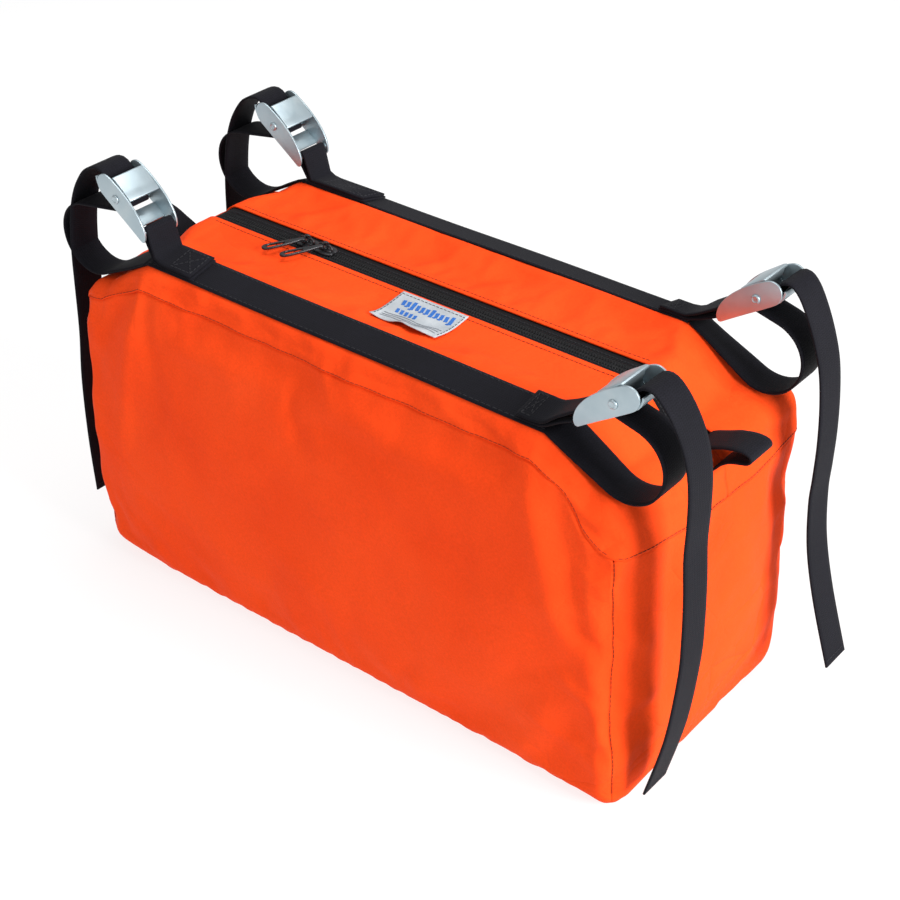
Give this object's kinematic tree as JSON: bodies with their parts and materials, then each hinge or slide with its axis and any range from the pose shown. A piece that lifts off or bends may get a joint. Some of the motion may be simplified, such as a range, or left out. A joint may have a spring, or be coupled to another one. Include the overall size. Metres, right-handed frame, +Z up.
{
  "type": "raft frame cargo bag",
  "caption": "Zip-top fabric box bag that hangs between two round frame tubes in webbing loops closed by cam buckles.",
  "frame": {"origin": "middle of the flat base, on the surface that the bag stands on", "axes": "+X along the long side towards the right-hand end, +Z up, front face towards -Y"},
  "size_m": [0.5626, 0.206, 0.3212],
  "materials": {
    "orange_fabric": "coated woven nylon, soft satin",
    "black_webbing": "woven webbing, matt",
    "zinc_steel": "bright zinc plate",
    "zip_tape": "woven tape, matt",
    "zip_coil": "satin",
    "black_slider": "black enamel",
    "label_cloth": "woven label, matt"
  },
  "bodies": {
    "bag": {"back_left_buckle_frame": "zinc_steel", "back_left_buckle_tab": "black_webbing", "back_left_cam_pin": "zinc_steel", "back_left_cam_spring": "zinc_steel", "back_left_strap": "black_webbing", "back_panel": "orange_fabric", "back_right_buckle_frame": "zinc_steel", "back_right_buckle_tab": "black_webbing", "back_right_cam_pin": "zinc_steel", "back_right_cam_spring": "zinc_steel", "back_right_strap": "black_webbing", "bottom_panel": "orange_fabric", "end_panel_left": "orange_fabric", "end_panel_right": "orange_fabric", "front_left_buckle_frame": "zinc_steel", "front_left_buckle_tab": "black_webbing", "front_left_cam_pin": "zinc_steel", "front_left_cam_spring": "zinc_steel", "front_left_strap": "black_webbing", "front_panel": "orange_fabric", "front_right_buckle_frame": "zinc_steel", "front_right_buckle_tab": "black_webbing", "front_right_cam_pin": "zinc_steel", "front_right_cam_spring": "zinc_steel", "front_right_strap": "black_webbing", "grab_loop_left": "black_webbing", "grab_loop_right": "black_webbing", "label": "label_cloth", "top_panel_back": "orange_fabric", "top_panel_front": "orange_fabric", "top_webbing_back": "black_webbing", "top_webbing_front": "black_webbing", "zip_coil_back": "zip_coil", "zip_coil_front": "zip_coil", "zip_tape_back": "zip_tape", "zip_tape_front": "zip_tape"},
    "front_right_lever": {"front_right_cam_lever": "zinc_steel"},
    "back_right_lever": {"back_right_cam_lever": "zinc_steel"},
    "front_left_lever": {"front_left_cam_lever": "zinc_steel"},
    "back_left_lever": {"back_left_cam_lever": "zinc_steel"},
    "zip_left_runner": {"zip_slider_left": "black_slider"},
    "zip_left_puller": {"zip_pull_left": "black_slider"},
    "zip_right_runner": {"zip_slider_right": "black_slider"},
    "zip_right_puller": {"zip_pull_right": "black_slider"}
  },
  "joints": [
    {"name": "front_right_lever_pivot", "type": "hinge", "parent": "bag", "child": "front_right_lever", "pos_m": [0.21736, -0.0774, 0.30099], "axis": [0, -1, 0], "range_deg": [0, 24], "stiffness_Nm_per_rad": 0.25, "springref_deg": -20.05},
    {"name": "back_right_lever_pivot", "type": "hinge", "parent": "bag", "child": "back_right_lever", "pos_m": [0.21736, 0.0774, 0.30099], "axis": [0, -1, 0], "range_deg": [0, 24], "stiffness_Nm_per_rad": 0.25, "springref_deg": -20.05},
    {"name": "front_left_lever_pivot", "type": "hinge", "parent": "bag", "child": "front_left_lever", "pos_m": [-0.18894, -0.0774, 0.30493], "axis": [0, 1, 0], "range_deg": [0, 24], "stiffness_Nm_per_rad": 0.25, "springref_deg": -20.05},
    {"name": "back_left_lever_pivot", "type": "hinge", "parent": "bag", "child": "back_left_lever", "pos_m": [-0.18894, 0.0774, 0.30493], "axis": [0, 1, 0], "range_deg": [0, 24], "stiffness_Nm_per_rad": 0.25, "springref_deg": -20.05},
    {"name": "zip_left_slide", "type": "slide", "parent": "bag", "child": "zip_left_runner", "axis": [1, 0, 0], "range_m": [-0.057, 0]},
    {"name": "zip_left_pull_swing", "type": "hinge", "parent": "zip_left_runner", "child": "zip_left_puller", "pos_m": [-0.101, 0, 0.2668], "axis": [-0.8572, 0.515, 0], "range_deg": [0, 160]},
    {"name": "zip_right_slide", "type": "slide", "parent": "bag", "child": "zip_right_runner", "axis": [1, 0, 0], "range_m": [0, 0.241]},
    {"name": "zip_right_pull_swing", "type": "hinge", "parent": "zip_right_runner", "child": "zip_right_puller", "pos_m": [-0.084, 0, 0.2668], "axis": [-0.8572, 0.515, 0], "range_deg": [0, 160]}
  ]
}
